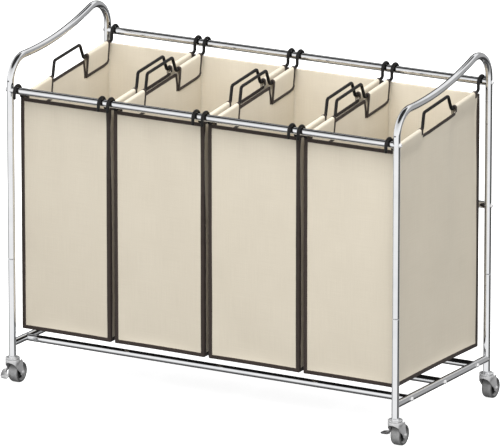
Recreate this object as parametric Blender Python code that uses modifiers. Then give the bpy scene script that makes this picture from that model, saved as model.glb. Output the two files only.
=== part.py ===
"""Laundry sorter on wheels: a chromed tube frame on four casters that carries four hanging fabric bags.

Metres, +Z up. The length runs along X, the front faces -Y, and the floor is z = 0. The origin is
the middle of the footprint.
"""

import math

import bmesh
import bpy
from mathutils import Matrix, Vector

# ---------------------------------------------------------------- driving dimensions

TUBE_R = 0.008            # every frame tube is 16 mm across
GAP = 0.0003              # left between pieces that touch
POST_X = 0.475            # post axes, left and right of the middle
FRONT_Y = -0.214          # front post axes
POST_DEPTH = 0.408        # front post axis to rear post axis
REAR_Y = FRONT_Y + POST_DEPTH

POST_FOOT_Z = 0.0633      # lower end of the posts, on the casters
BOTTOM_RAIL_Z = 0.0924    # axes of the side bars and bottom rails
JOINT_Z = 0.282           # where the upper side frame plugs onto the lower posts
BACK_RAIL_Z = 0.4348
FRONT_RAIL_Z = 0.6598
REAR_RAIL_Z = 0.7071

BEND_FRONT_R = 0.056      # upper side frame: front bend, rising sweep, rear bend
BEND_FRONT_TOP_Z = 0.7273
SWEEP_R = 0.861
SWEEP_END = 0.332         # where the sweep ends, behind the front post axis

SOCKET_R, SPIGOT_R, SPIGOT_LENGTH = 0.0069, 0.0066, 0.025
STEM_BORE_R, STEM_BORE_DEPTH = 0.0043, 0.032
BOLT_BORE_R, BOLT_BORE_DEPTH = 0.0028, 0.020
BOTTOM_RAIL_PITCH = 0.147
END_INSET = 0.003         # blunt tips of the shaped rail ends, from the axis of the tube they meet

WHEEL_R, WHEEL_HALF_WIDTH, WHEEL_SIDES = 0.0234, 0.0116, 20
CASTER_TRAIL = 0.020      # axle behind the swivel axis
CROWN_R, CROWN_Z = 0.016, 0.0614   # bearing ring over the fork: radius and top
LEG_INNER, LEG_OUTER = 0.0126, 0.0142
AXLE_R = 0.003
LEVER_PIVOT = (0.003, 0.0333)    # behind the swivel axis, and height
LEVER_PRESSED = math.radians(50)

BAG_COUNT = 4
BAG_PITCH = 0.234
BAG_HALF_WIDTH = 0.1107
BAG_WALL = 0.0014
BAG_BOTTOM_Z = 0.1237
BAG_FRONT, BAG_BACK = 0.0229, 0.3894        # outer faces, behind the front post axis
FRONT_PANEL_TOP_Z, REAR_PANEL_TOP_Z = 0.6394, 0.6833
FLAP_DEPTH = 0.0477                          # below the wire's axis
NOTCH_DROP = 0.0087                          # below the wire's axis
FOLDS = ((0.034, 0.140), (0.283, 0.378))     # front and rear flaps, behind the front post axis

WIRE_R = 0.0035
WIRE_X = 0.1055           # wire axis, either side of the bag's middle
WIRE_SLOPE = 0.119
WIRE_START_Z = 0.6458     # axis height WIRE_START_Y behind the front post axis
WIRE_START_Y = 0.0388
HOOK_R = 0.0135
HOOK_FRONT_DROP, HOOK_REAR_DROP = 0.017, 0.009
GRIP_CENTRE, GRIP_HALF_BASE, GRIP_HALF_TOP, GRIP_HEIGHT = 0.2096, 0.065, 0.0535, 0.0345

SIDES = (("left", -1), ("right", 1))
ENDS = (("front", FRONT_Y), ("rear", REAR_Y))


# ---------------------------------------------------------------- helpers

def material(name, colour, roughness, metallic):
    mat = bpy.data.materials.new(name)
    mat.use_nodes = True
    shader = mat.node_tree.nodes["Principled BSDF"]
    shader.inputs["Base Color"].default_value = (*colour, 1)
    shader.inputs["Roughness"].default_value = roughness
    shader.inputs["Metallic"].default_value = metallic
    mat.diffuse_color = (*colour, 1)
    return mat


def place(name, mesh, mat, location=(0, 0, 0), rotation=(0, 0, 0), parent=None):
    """One named piece. Copies may share a mesh. A parent only groups: it has no rotation."""
    obj = bpy.data.objects.new(name, mesh)
    if not mesh.materials:
        mesh.materials.append(mat)
    PARTS.objects.link(obj)
    obj.location = location
    obj.rotation_euler = rotation
    if parent:
        obj.parent = parent
        obj.location = Vector(location) - parent.location
    return obj


def pivot(name, location):
    """An empty on a joint's axis, which carries the pieces that turn with it."""
    empty = bpy.data.objects.new(name, None)
    empty.location = location
    empty.empty_display_size = 0.02
    PARTS.objects.link(empty)
    return empty


def baked(obj):
    """The evaluated mesh of a working object, welded and facing out; the object is removed."""
    bpy.context.view_layer.update()
    graph = bpy.context.evaluated_depsgraph_get()
    mesh = bpy.data.meshes.new_from_object(obj.evaluated_get(graph))
    mesh.transform(obj.matrix_world)
    bpy.data.objects.remove(obj, do_unlink=True)
    bm = bmesh.new()
    bm.from_mesh(mesh)
    bmesh.ops.remove_doubles(bm, verts=bm.verts, dist=1e-6)
    bmesh.ops.recalc_face_normals(bm, faces=bm.faces)
    bm.to_mesh(mesh)
    bm.free()
    mesh.materials.clear()
    mesh.shade_smooth()
    mesh.set_sharp_from_angle(angle=math.radians(35))
    return mesh


def working(data):
    obj = bpy.data.objects.new("working", data)
    bpy.context.scene.collection.objects.link(obj)
    return obj


def rod(start, end, radius, segments=16):
    """A straight round bar between two points."""
    start, end = Vector(start), Vector(end)
    along = end - start
    turn = along.to_track_quat("Z", "Y").to_matrix().to_4x4()
    turn @= Matrix.Rotation(math.pi / segments, 4, "Z")  # a flat, not an edge, faces each axis
    bm = bmesh.new()
    bmesh.ops.create_cone(
        bm, cap_ends=True, segments=segments, radius1=radius, radius2=radius,
        depth=along.length, matrix=Matrix.Translation((start + end) / 2) @ turn)
    mesh = bpy.data.meshes.new("rod")
    bm.to_mesh(mesh)
    bm.free()
    return mesh


def combined(mesh, others, operation):
    """The mesh after a Boolean with each of the other meshes in turn."""
    body = working(mesh)
    tools = [working(other) for other in others]
    for tool in tools:
        boolean = body.modifiers.new("boolean", "BOOLEAN")
        boolean.operation = operation
        boolean.solver = "EXACT"
        boolean.object = tool
    result = baked(body)
    for tool in tools:
        bpy.data.objects.remove(tool, do_unlink=True)
    return result


def swept(points, radius, resolution):
    """A round bar along points, with flat ends."""
    curve = bpy.data.curves.new("path", "CURVE")
    curve.dimensions = "3D"
    curve.bevel_depth = radius
    curve.bevel_resolution = resolution
    curve.use_fill_caps = True
    spline = curve.splines.new("POLY")
    spline.points.add(len(points) - 1)
    for place_on, point in zip(spline.points, points):
        place_on.co = (*point, 1)
    return baked(working(curve))


def plate(outline, thickness):
    """A flat plate in XY with the outline's shape, half its thickness above and half below."""
    curve = bpy.data.curves.new("outline", "CURVE")
    curve.dimensions = "2D"
    curve.fill_mode = "BOTH"
    curve.extrude = thickness / 2
    spline = curve.splines.new("POLY")
    spline.points.add(len(outline) - 1)
    for place_on, (x, y) in zip(spline.points, outline):
        place_on.co = (x, y, 0, 1)
    spline.use_cyclic_u = True
    return baked(working(curve))


def turned(profile, segments):
    """A turned piece about Z. The profile is (radius, height) from top to bottom."""
    mesh = bpy.data.meshes.new("profile")
    mesh.from_pydata([(r, 0, z) for r, z in profile], [(i, i + 1) for i in range(len(profile) - 1)], [])
    obj = working(mesh)
    screw = obj.modifiers.new("screw", "SCREW")
    screw.steps = screw.render_steps = segments
    screw.use_merge_vertices = True
    screw.merge_threshold = 1e-5
    return baked(obj)


def arc(centre, radius, start, end, steps):
    """Points on an arc, in degrees counted from the first axis towards the second."""
    angles = [math.radians(start + (end - start) * i / steps) for i in range(steps + 1)]
    return [(centre[0] + radius * math.cos(a), centre[1] + radius * math.sin(a)) for a in angles]


def rounded(points, radius, steps=2):
    """A polyline with each inner corner replaced by an arc."""
    route = [Vector(points[0])]
    for before, corner, after in zip(points, points[1:], points[2:]):
        corner = Vector(corner)
        back, ahead = (Vector(before) - corner).normalized(), (Vector(after) - corner).normalized()
        half = back.angle(ahead) / 2
        start = corner + back * (radius / math.tan(half))
        centre = corner + (back + ahead).normalized() * (radius / math.sin(half))
        spoke = start - centre
        turn = (math.pi - 2 * half) * (1 if back.cross(ahead) < 0 else -1)
        route += [centre + Matrix.Rotation(turn * i / steps, 2) @ spoke for i in range(steps + 1)]
    return route + [Vector(points[-1])]


# ---------------------------------------------------------------- tube frame

def side_frame_path():
    """The upper side frame's centre line as (y, z): up the front, along the handle, down the rear."""
    bend_centre = (FRONT_Y + BEND_FRONT_R, BEND_FRONT_TOP_Z - BEND_FRONT_R)
    front_bend = arc(bend_centre, BEND_FRONT_R, 180, 90, 6)
    rise = math.degrees(math.asin((SWEEP_END - BEND_FRONT_R) / SWEEP_R))
    sweep = arc((bend_centre[0], BEND_FRONT_TOP_Z + SWEEP_R), SWEEP_R, -90, rise - 90, 5)
    end_y, end_z = sweep[-1]
    rear_r = (REAR_Y - end_y) / (1 + math.sin(math.radians(rise)))
    rear_centre = (REAR_Y - rear_r, end_z - rear_r * math.cos(math.radians(rise)))
    rear_bend = arc(rear_centre, rear_r, 90 + rise, 0, 9)
    path = [(FRONT_Y, JOINT_Z + GAP)] + front_bend + sweep[1:] + rear_bend[1:]
    return path + [(REAR_Y, JOINT_Z + GAP)]


def side_frame(side):
    """Bent tube with a socket in each foot, and bores for the three rail bolts."""
    x = side * POST_X
    tube = swept([(x, y, z) for y, z in side_frame_path()], TUBE_R, 6)
    socket = JOINT_Z + SPIGOT_LENGTH + 0.001
    cutters = [rod((x, y, JOINT_Z - 0.01), (x, y, socket), SOCKET_R, 12) for _, y in ENDS]
    for y, z in ((FRONT_Y, FRONT_RAIL_Z), (REAR_Y, REAR_RAIL_Z), (REAR_Y, BACK_RAIL_Z)):
        cutters.append(rod((x - 0.012, y, z), (x + 0.012, y, z), BOLT_BORE_R, 8))
    for y, z in ((FRONT_Y, FRONT_RAIL_Z + 0.020), (REAR_Y, REAR_RAIL_Z - 0.091)):
        cutters.append(rod((x, y - 0.012, z), (x, y - 0.0055, z), 0.0014, 8))
    return combined(tube, cutters, "DIFFERENCE")


def lower_post():
    """Lower leg with a spigot for the upper frame on top and a bore for the caster's stem below."""
    return turned([
        (0, JOINT_Z + SPIGOT_LENGTH), (SPIGOT_R, JOINT_Z + SPIGOT_LENGTH), (SPIGOT_R, JOINT_Z),
        (TUBE_R, JOINT_Z), (TUBE_R, POST_FOOT_Z), (STEM_BORE_R, POST_FOOT_Z),
        (STEM_BORE_R, POST_FOOT_Z + STEM_BORE_DEPTH), (0, POST_FOOT_Z + STEM_BORE_DEPTH)], 16)


def cross_bar(side):
    """Side bar between the lower posts, with shaped ends and bores for the bottom rails' bolts."""
    x, z = side * POST_X, BOTTOM_RAIL_Z
    cutters = [rod((x, y, z - 0.03), (x, y, z + 0.03), TUBE_R + GAP, 24) for _, y in ENDS]
    cutters += [rod((x - 0.012, y, z), (x + 0.012, y, z), BOLT_BORE_R, 8) for y in bottom_rail_ys()]
    bar = rod((x, FRONT_Y + END_INSET, z), (x, REAR_Y - END_INSET, z), TUBE_R)
    return combined(bar, cutters, "DIFFERENCE")


def bottom_rail_ys():
    middle = (FRONT_Y + REAR_Y) / 2
    return [middle + step * BOTTOM_RAIL_PITCH for step in (-1, 0, 1)]


def rail(y, z, upright, extra=()):
    """Rail along X whose ends are shaped to the tubes they meet and bored for a bolt.

    upright says whether those tubes stand (posts) or lie along Y (side bars)."""
    reach = Vector((0, 0, 0.03)) if upright else Vector((0, 0.03, 0))
    cutters = list(extra)
    for _, side in SIDES:
        end = Vector((side * POST_X, y, z))
        cutters.append(rod(end - reach, end + reach, TUBE_R + GAP, 24))
        depth = Vector((side * (TUBE_R + BOLT_BORE_DEPTH), 0, 0))
        cutters.append(rod(end - depth, end, BOLT_BORE_R, 8))
    bar = rod((-POST_X + END_INSET, y, z), (POST_X - END_INSET, y, z), TUBE_R)
    return combined(bar, cutters, "DIFFERENCE")


def rear_top_rail():
    """The rear top rail also has four small holes on its lower front side."""
    holes = []
    for i in range(BAG_COUNT):
        hole = Vector((-0.376 + 0.2304 * i, REAR_Y, REAR_RAIL_Z))
        outwards = Vector((0, -1, -1)).normalized()
        holes.append(rod(hole + outwards * 0.0055, hole + outwards * 0.012, 0.0012, 8))
    return rail(REAR_Y, REAR_RAIL_Z, True, holes)


def bolt():
    """Dome-head bolt along +Z, with the head's flat underside at z = 0 and the shank below."""
    head_r, head_height, shank_r = 0.0048, 0.0034, 0.0025
    dome = [(0, head_height), (head_r * 0.55, head_height * 0.86), (head_r * 0.9, head_height * 0.5)]
    shank = 2 * TUBE_R + BOLT_BORE_DEPTH - 0.004
    return turned(dome + [(head_r, 0), (shank_r, 0), (shank_r, -shank), (0, -shank)], 10)


def build_frame(chrome, steel):
    for name, side in SIDES:
        place(f"side_frame_{name}", side_frame(side), chrome)
        place(f"cross_bar_{name}", cross_bar(side), chrome)
    post = lower_post()
    for side_name, side in SIDES:
        for end_name, y in ENDS:
            place(f"lower_post_{end_name}_{side_name}", post, chrome, (side * POST_X, y, 0))
    place("front_top_rail", rail(FRONT_Y, FRONT_RAIL_Z, True), chrome)
    place("rear_top_rail", rear_top_rail(), chrome)
    place("back_rail", rail(REAR_Y, BACK_RAIL_Z, True), chrome)
    for name, y in zip(("front", "middle", "rear"), bottom_rail_ys()):
        place(f"bottom_rail_{name}", rail(y, BOTTOM_RAIL_Z, False), chrome)
    bolted = [("front_top", FRONT_Y, FRONT_RAIL_Z), ("rear_top", REAR_Y, REAR_RAIL_Z),
              ("back", REAR_Y, BACK_RAIL_Z)]
    bolted += [(f"bottom_{name}", y, BOTTOM_RAIL_Z)
               for name, y in zip(("front", "middle", "rear"), bottom_rail_ys())]
    bolt_mesh = bolt()
    for rail_name, y, z in bolted:
        for side_name, side in SIDES:
            place(f"bolt_{rail_name}_{side_name}", bolt_mesh, steel,
                  (side * (POST_X + TUBE_R + GAP), y, z), (0, side * math.pi / 2, 0))


# ---------------------------------------------------------------- casters

def caster_stem():
    """Threaded stem, collar and upper bearing ring, with the riveted pin that holds the fork."""
    return turned([
        (0, POST_FOOT_Z + 0.029), (0.004, POST_FOOT_Z + 0.029), (0.004, POST_FOOT_Z - GAP),
        (0.0075, POST_FOOT_Z - GAP), (0.0075, CROWN_Z), (CROWN_R - 0.001, CROWN_Z),
        (CROWN_R, CROWN_Z - 0.0008), (CROWN_R, CROWN_Z - 0.0034), (CROWN_R - 0.001, CROWN_Z - 0.0042),
        (0.0045, CROWN_Z - 0.0042), (0.0045, CROWN_Z - 0.0079), (0.0075, CROWN_Z - 0.0079),
        (0.0065, CROWN_Z - 0.0094), (0, CROWN_Z - 0.0094)], 16)


def fork():
    """Stamped fork: a cup under the bearing ring, open to the rear, and two legs to the axle."""
    cup_top, cup_bottom, inner = CROWN_Z - 0.0048, CROWN_Z - 0.0141, CROWN_R - 0.0016
    cup = turned([
        (0.0048, cup_top), (CROWN_R - 0.0005, cup_top), (CROWN_R, cup_top - 0.0006), (CROWN_R, cup_bottom),
        (inner, cup_bottom), (inner, cup_top - 0.0022), (0.0048, cup_top - 0.0022), (0.0048, cup_top)], 16)
    axle_y, axle_z = CASTER_TRAIL, WHEEL_R
    foot = arc((axle_y, axle_z), 0.0052, -150, -20, 5)
    leg_top = CROWN_Z - 0.0071
    outline = [(-0.0065, leg_top), (-0.0065, leg_top - 0.0075), (-0.0050, leg_top - 0.0180)] + foot
    outline += [(0.0235, leg_top - 0.0155), (0.0168, leg_top - 0.0060), (0.0100, leg_top)]
    legs = []
    for _, side in SIDES:
        leg = plate(outline, LEG_OUTER - LEG_INNER)
        leg.transform(Matrix.Translation((side * (LEG_INNER + LEG_OUTER) / 2, 0, 0)) @ UPRIGHT)
        legs.append(leg)
    whole = combined(cup, legs, "UNION")
    slot = rod((0, 0.008, cup_bottom - 0.0055), (0, 0.030, cup_bottom - 0.0055), 0.0085, 12)
    bore = rod((-0.03, axle_y, axle_z), (0.03, axle_y, axle_z), AXLE_R + GAP, 12)
    lever_bore = rod((-0.03, *LEVER_PIVOT), (-0.005, *LEVER_PIVOT), 0.0028, 12)
    return combined(whole, [slot, bore, lever_bore], "DIFFERENCE")


def axle():
    """Axle rivet along X with a head outside each leg."""
    head = LEG_OUTER + GAP
    mesh = turned([
        (0, head + 0.0016), (0.0038, head + 0.0012), (0.0044, head), (AXLE_R, head),
        (AXLE_R, -head), (0.0044, -head), (0.0038, -head - 0.0012), (0, -head - 0.0016)], 12)
    mesh.transform(Matrix.Rotation(math.pi / 2, 4, "Y"))
    return mesh


def wheel():
    """Wheel along X: rounded tread, rim lip, sunk sides and a hub that nearly meets the legs.

    It has WHEEL_SIDES flats, one of them on the floor, WHEEL_R below the axle."""
    tread = WHEEL_R / math.cos(math.pi / WHEEL_SIDES)
    half = [(AXLE_R + GAP, 0.0119), (0.0075, 0.0119), (0.0090, 0.0080), (0.0185, 0.0080),
            (0.0200, WHEEL_HALF_WIDTH), (tread - 0.0022, WHEEL_HALF_WIDTH), (tread, WHEEL_HALF_WIDTH - 0.003)]
    profile = half + [(r, -z) for r, z in reversed(half)]
    mesh = turned(profile + half[:1], WHEEL_SIDES)
    mesh.transform(Matrix.Rotation(math.pi / 2, 4, "Y"))
    mesh.transform(Matrix.Rotation(math.pi / WHEEL_SIDES, 4, "X"))
    return mesh


def brake_lever():
    """Pedal beside the left leg, about a pivot pin along X: a disc, an arm and a rounded tongue."""
    disc = arc((0, 0), 0.0045, -90, 90, 6)
    arm = plate(disc + [(-0.012, 0.0012), (-0.012, -0.0012)], 0.0014)
    arm.transform(Matrix.Translation((-LEG_OUTER - 0.0011, 0, 0)) @ UPRIGHT)
    inner, outer, reach = -LEG_OUTER - 0.0004, -0.024, -0.026
    corner = 0.004
    tongue = [(inner, -0.005), (inner, reach + corner)]
    tongue += arc((inner - corner, reach + corner), corner, 0, -90, 3)
    tongue += arc((outer + corner, reach + corner), corner, -90, -180, 3)
    tongue += [(outer, -0.009), (outer + 0.003, -0.005)]
    pin = rod((-LEG_OUTER - 0.0015, 0, 0), (-LEG_INNER + 0.0002, 0, 0), 0.0024, 12)
    return combined(arm, [plate(tongue, 0.0016), pin], "UNION")


def build_casters(steel, rubber):
    stem_mesh, fork_mesh, axle_mesh, wheel_mesh, lever_mesh = (
        caster_stem(), fork(), axle(), wheel(), brake_lever())
    for side_name, side in SIDES:
        for end_name, y in ENDS:
            corner = f"{end_name}_{side_name}"
            x = side * POST_X
            place(f"caster_stem_{corner}", stem_mesh, steel, (x, y, 0))
            swivel = pivot(f"swivel_{corner}", (x, y, 0))
            place(f"fork_{corner}", fork_mesh, steel, (x, y, 0), parent=swivel)
            hub = (x, y + CASTER_TRAIL, WHEEL_R)
            place(f"axle_{corner}", axle_mesh, steel, hub, parent=swivel)
            place(f"wheel_{corner}", wheel_mesh, rubber, hub, parent=swivel)
            if end_name == "front":
                pressed = LEVER_PRESSED if side < 0 else 0
                place(f"brake_lever_{corner}", lever_mesh, steel,
                      (x, y + LEVER_PIVOT[0], LEVER_PIVOT[1]), (pressed, 0, 0), swivel)


# ---------------------------------------------------------------- bags

def wire_height(y):
    """Height of the straight part of a wire's axis, y behind the front post axis."""
    return WIRE_START_Z + WIRE_SLOPE * (y - WIRE_START_Y)


def wire_path():
    """A hanger wire's centre line as (y, z), y behind the front post axis: a hook over each rail,
    and a raised grip between them."""
    lift = TUBE_R + WIRE_R + GAP - HOOK_R
    front, rear = (0, FRONT_RAIL_Z + lift), (POST_DEPTH, REAR_RAIL_Z + lift)
    along = Vector((1, WIRE_SLOPE)).normalized()
    up = Vector((-along.y, along.x))
    middle = Vector((GRIP_CENTRE, wire_height(GRIP_CENTRE)))
    grip = [middle - along * GRIP_HALF_BASE, middle - along * GRIP_HALF_TOP + up * GRIP_HEIGHT,
            middle + along * GRIP_HALF_TOP + up * GRIP_HEIGHT, middle + along * GRIP_HALF_BASE]
    inner_front, inner_rear = HOOK_R, POST_DEPTH - HOOK_R
    run = [(inner_front, front[1]), (inner_front, wire_height(inner_front)), *grip,
           (inner_rear, wire_height(inner_rear)), (inner_rear, rear[1])]
    path = [(-HOOK_R, FRONT_RAIL_Z - HOOK_FRONT_DROP)] + arc(front, HOOK_R, 180, 0, 6)[:-1]
    path += rounded(run, 0.0065)[:-1] + arc(rear, HOOK_R, 180, 0, 6)
    return path + [(POST_DEPTH + HOOK_R, REAR_RAIL_Z - HOOK_REAR_DROP)]


def bag_sheet():
    """The bag's cloth without thickness, about x = 0 and with y behind the front post axis: four
    walls and a floor, and on each side wall two flaps that fold over the wire to the inside."""
    half = BAG_HALF_WIDTH - BAG_WALL / 2
    fold_r = half - WIRE_X
    front, back = BAG_FRONT + BAG_WALL / 2, BAG_BACK - BAG_WALL / 2
    floor = BAG_BOTTOM_Z + BAG_WALL / 2
    (a, b), (c, d) = FOLDS
    bm = bmesh.new()

    def strip(rows):
        """Faces between rows of equally many points."""
        for low, high in zip(rows, rows[1:]):
            for i in range(len(low) - 1):
                bm.faces.new([bm.verts.new(p) for p in (low[i], low[i + 1], high[i + 1], high[i])])

    columns = [front, a, b, c, d, back]
    for side in (-half, half):
        strip([[(side, y, floor) for y in columns],
               [(side, y, wire_height(y) - NOTCH_DROP) for y in columns]])
        for start, end in FOLDS:
            rows = [[(side, y, wire_height(y) - NOTCH_DROP) for y in (start, end)]]
            for across, up in arc((0, 0), fold_r, 0, 180, 6):
                x = math.copysign(WIRE_X + across, side)
                rows.append([(x, y, wire_height(y) + up) for y in (start, end)])
            x = math.copysign(WIRE_X - fold_r, side)
            rows.append([(x, y, wire_height(y) - FLAP_DEPTH) for y in (start, end)])
            strip(rows)
        for outer, inner, top in ((front, a, FRONT_PANEL_TOP_Z), (back, d, REAR_PANEL_TOP_Z)):
            strip([[(side, y, wire_height(y) - NOTCH_DROP) for y in (outer, inner)],
                   [(side, outer, top), (side, inner, wire_height(inner))]])
    for y, top in ((front, FRONT_PANEL_TOP_Z), (back, REAR_PANEL_TOP_Z)):
        strip([[(x, y, z) for x in (-half, half)] for z in (floor, wire_height(y) - NOTCH_DROP, top)])
    strip([[(-half, y, floor) for y in columns], [(half, y, floor) for y in columns]])
    bmesh.ops.remove_doubles(bm, verts=bm.verts, dist=1e-5)
    bmesh.ops.recalc_face_normals(bm, faces=bm.faces)
    mesh = bpy.data.meshes.new("bag")
    bm.to_mesh(mesh)
    bm.free()
    return mesh


def bag():
    """The bag's cloth with its thickness."""
    obj = working(bag_sheet())
    thickness = obj.modifiers.new("thickness", "SOLIDIFY")
    thickness.thickness = BAG_WALL
    thickness.offset = 0
    thickness.use_even_offset = True
    return baked(obj)


def build_bags(cloth, wire_paint):
    bag_mesh = bag()
    wire_mesh = swept([(0, y, z) for y, z in wire_path()], WIRE_R, 2)
    for i in range(BAG_COUNT):
        middle = (i - (BAG_COUNT - 1) / 2) * BAG_PITCH
        place(f"bag_{i + 1}_cloth", bag_mesh, cloth, (middle, FRONT_Y, 0))
        for name, side in SIDES:
            place(f"bag_{i + 1}_wire_{name}", wire_mesh, wire_paint, (middle + side * WIRE_X, FRONT_Y, 0))


# ---------------------------------------------------------------- assembly

UPRIGHT = Matrix(((0, 0, 1, 0), (1, 0, 0, 0), (0, 1, 0, 0), (0, 0, 0, 1)))  # outline x, y to row y, z

for old in list(bpy.data.objects):
    bpy.data.objects.remove(old, do_unlink=True)
PARTS = bpy.data.collections.new("laundry_sorter")
bpy.context.scene.collection.children.link(PARTS)

CHROME = material("chrome", (0.80, 0.81, 0.83), 0.08, 1.0)
ZINC = material("zinc_plated_steel", (0.62, 0.62, 0.61), 0.35, 0.9)
RUBBER = material("grey_rubber", (0.28, 0.28, 0.28), 0.6, 0.0)
CLOTH = material("beige_cloth", (0.70, 0.64, 0.53), 0.9, 0.0)
WIRE_PAINT = material("black_coated_wire", (0.03, 0.03, 0.03), 0.4, 0.0)

build_frame(CHROME, ZINC)
build_casters(ZINC, RUBBER)
build_bags(CLOTH, WIRE_PAINT)
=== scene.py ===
"""Laundry sorter on wheels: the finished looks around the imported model.

Metres, +Z up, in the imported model's frame: length along X, front facing -Y, floor at z = 0. Every
place is read from the frame or follows from the driving dimensions below.
"""

import math

import bmesh
import bpy
import numpy as np
from mathutils import Matrix, Vector, noise


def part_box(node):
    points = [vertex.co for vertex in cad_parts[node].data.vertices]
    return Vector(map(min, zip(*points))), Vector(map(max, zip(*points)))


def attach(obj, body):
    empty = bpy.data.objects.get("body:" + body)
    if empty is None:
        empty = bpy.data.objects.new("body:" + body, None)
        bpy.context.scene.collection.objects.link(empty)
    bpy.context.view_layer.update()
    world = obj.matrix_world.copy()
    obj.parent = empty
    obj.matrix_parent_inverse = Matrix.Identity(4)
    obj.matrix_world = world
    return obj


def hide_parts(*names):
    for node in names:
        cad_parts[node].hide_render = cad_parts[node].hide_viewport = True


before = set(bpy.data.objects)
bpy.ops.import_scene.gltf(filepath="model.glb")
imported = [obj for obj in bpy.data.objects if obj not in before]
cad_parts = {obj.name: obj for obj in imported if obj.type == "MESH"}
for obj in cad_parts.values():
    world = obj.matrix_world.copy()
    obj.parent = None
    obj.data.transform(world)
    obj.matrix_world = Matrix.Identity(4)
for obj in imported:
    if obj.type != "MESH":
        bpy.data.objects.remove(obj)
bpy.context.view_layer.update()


# ---------------------------------------------------------------- driving dimensions

def middle_of(node):
    low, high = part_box(node)
    return (low + high) / 2


TUBE_R = 0.008
GAP = 0.0003
POST_X = middle_of("lower_post_front_right").x
FRONT_Y = middle_of("lower_post_front_right").y
REAR_Y = middle_of("lower_post_rear_right").y
FRONT_RAIL_Z = middle_of("front_top_rail").z
REAR_RAIL_Z = middle_of("rear_top_rail").z
BACK_RAIL_Z = middle_of("back_rail").z
BOTTOM_RAIL_Z = middle_of("cross_bar_left").z
POST_FOOT_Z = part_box("lower_post_front_left")[0].z
JOINT_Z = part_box("side_frame_left")[0].z - GAP

BEND_FRONT_R, BEND_FRONT_TOP_Z = 0.056, 0.7273   # handle: front bend, rising sweep, rear bend
SWEEP_R, SWEEP_END = 0.861, 0.332

WHEEL_R, WHEEL_HALF_WIDTH, CASTER_TRAIL = 0.0234, 0.0116, 0.020
CROWN_R, CROWN_Z, LEG_MIDDLE = 0.016, 0.0614, 0.0134
RAIL_HOLE_X, RAIL_HOLE_PITCH = -0.376, 0.2304     # small holes under the rear top rail
LEVER_PIVOT = (0.003, 0.0333)                    # behind the swivel axis, and height
LEVER_PRESSED = 50                               # degrees

BAG_WALL = 0.0014
CLOTH = 0.0010                                   # thickness of the finished cloth
BAG_HALF = (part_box("bag_1_cloth")[1].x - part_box("bag_1_cloth")[0].x) / 2 - BAG_WALL / 2
BAG_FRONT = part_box("bag_1_cloth")[0].y - FRONT_Y + BAG_WALL / 2   # behind the front post axis
BAG_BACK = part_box("bag_1_cloth")[1].y - FRONT_Y - BAG_WALL / 2
BAG_FLOOR_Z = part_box("bag_1_cloth")[0].z + BAG_WALL / 2
FRONT_TOP_Z, REAR_TOP_Z = 0.6394, 0.6833
FLAP_DEPTH, NOTCH_DROP = 0.0477, 0.0087          # below the wire's axis
FOLDS = ((0.034, 0.140), (0.283, 0.378))         # front and rear flaps, behind the front post axis
BAGS = [(i + 1, middle_of(f"bag_{i + 1}_cloth").x) for i in range(4)]

WIRE_R, WIRE_X = 0.0035, 0.1055
WIRE_SLOPE, WIRE_START_Y, WIRE_START_Z = 0.119, 0.0388, 0.6458
HOOK_R, HOOK_FRONT_DROP, HOOK_REAR_DROP = 0.0135, 0.017, 0.009
GRIP_CENTRE, GRIP_HALF_BASE, GRIP_HALF_TOP, GRIP_HEIGHT = 0.2096, 0.065, 0.0535, 0.0345

TAPE, EDGING = 0.0072, 0.0062                    # widths of the seam tape and the flaps' edging
TAPE_LIFT, EDGING_LIFT = 0.0008, 0.0006          # their thickness over the cloth
HEM, HEM_LIFT = 0.0145, 0.0005
CELL = 0.014                                     # grid of the cloth before it is refined
SIM_FRAMES, NOISE_SEED = 34, 7
UNEVEN, SETTLE_CAP = 0.0012, 0.005               # the cloth's slight waviness; how far it may settle

WORLD_LIGHT, LAMP_POWER = 1.20, 80
LAMP_AT, LAMP_SIZE = (0.75, -1.85, 2.75), (3.0, 2.6)
CAMERA_YAW, CAMERA_PITCH, CAMERA_AWAY, LENS = 29.933, 15.196, 16.16, 539.9   # degrees, metres, mm

SIDES = (("left", -1), ("right", 1))
ENDS = (("front", FRONT_Y), ("rear", REAR_Y))
CORNERS = [(f"{end}_{name}", side, y) for name, side in SIDES for end, y in ENDS]


# ---------------------------------------------------------------- materials

def node(tree, kind, settings=(), **inputs):
    """A shader node; an input given a socket is linked, and a number or colour is set.

    Underscores in input names stand for spaces, and in0, in1 and so on are sockets by number."""
    made = tree.nodes.new("ShaderNode" + kind)
    for key, value in dict(settings).items():
        setattr(made, key, value)
    for key, value in inputs.items():
        numbered = key[:2] == "in" and key[2:].isdigit()
        socket = made.inputs[int(key[2:]) if numbered else key.replace("_", " ")]
        if isinstance(value, bpy.types.NodeSocket):
            tree.links.new(value, socket)
        else:
            socket.default_value = value
    return made


def calc(tree, operation, a, b=0.0):
    return node(tree, "Math", {"operation": operation}, in0=a, in1=b).outputs[0]


def times(tree, a, b):
    return calc(tree, "MULTIPLY", a, b)


def plus(tree, a, b):
    return calc(tree, "ADD", a, b)


def without(tree, a):
    """1 - a."""
    return calc(tree, "SUBTRACT", 1.0, a)


def blend(tree, a, share, b):
    """share of a and the rest of b."""
    return plus(tree, times(tree, a, share), times(tree, b, 1 - share))


def ramp(tree, factor, low, high, to_low, to_high):
    """factor from low..high mapped to to_low..to_high and held there outside."""
    return node(tree, "MapRange", in0=factor, in1=low, in2=high, in3=to_low, in4=to_high).outputs[0]


def axes(tree, vector):
    return node(tree, "SeparateXYZ", in0=vector).outputs


def mixed(tree, factor, a, b):
    """Colour a where factor is 0 and b where it is 1; each is a socket or three numbers."""
    a, b = (c if isinstance(c, bpy.types.NodeSocket) else (*c, 1) for c in (a, b))
    return node(tree, "Mix", {"data_type": "RGBA"}, in0=factor, in6=a, in7=b).outputs[2]


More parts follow.
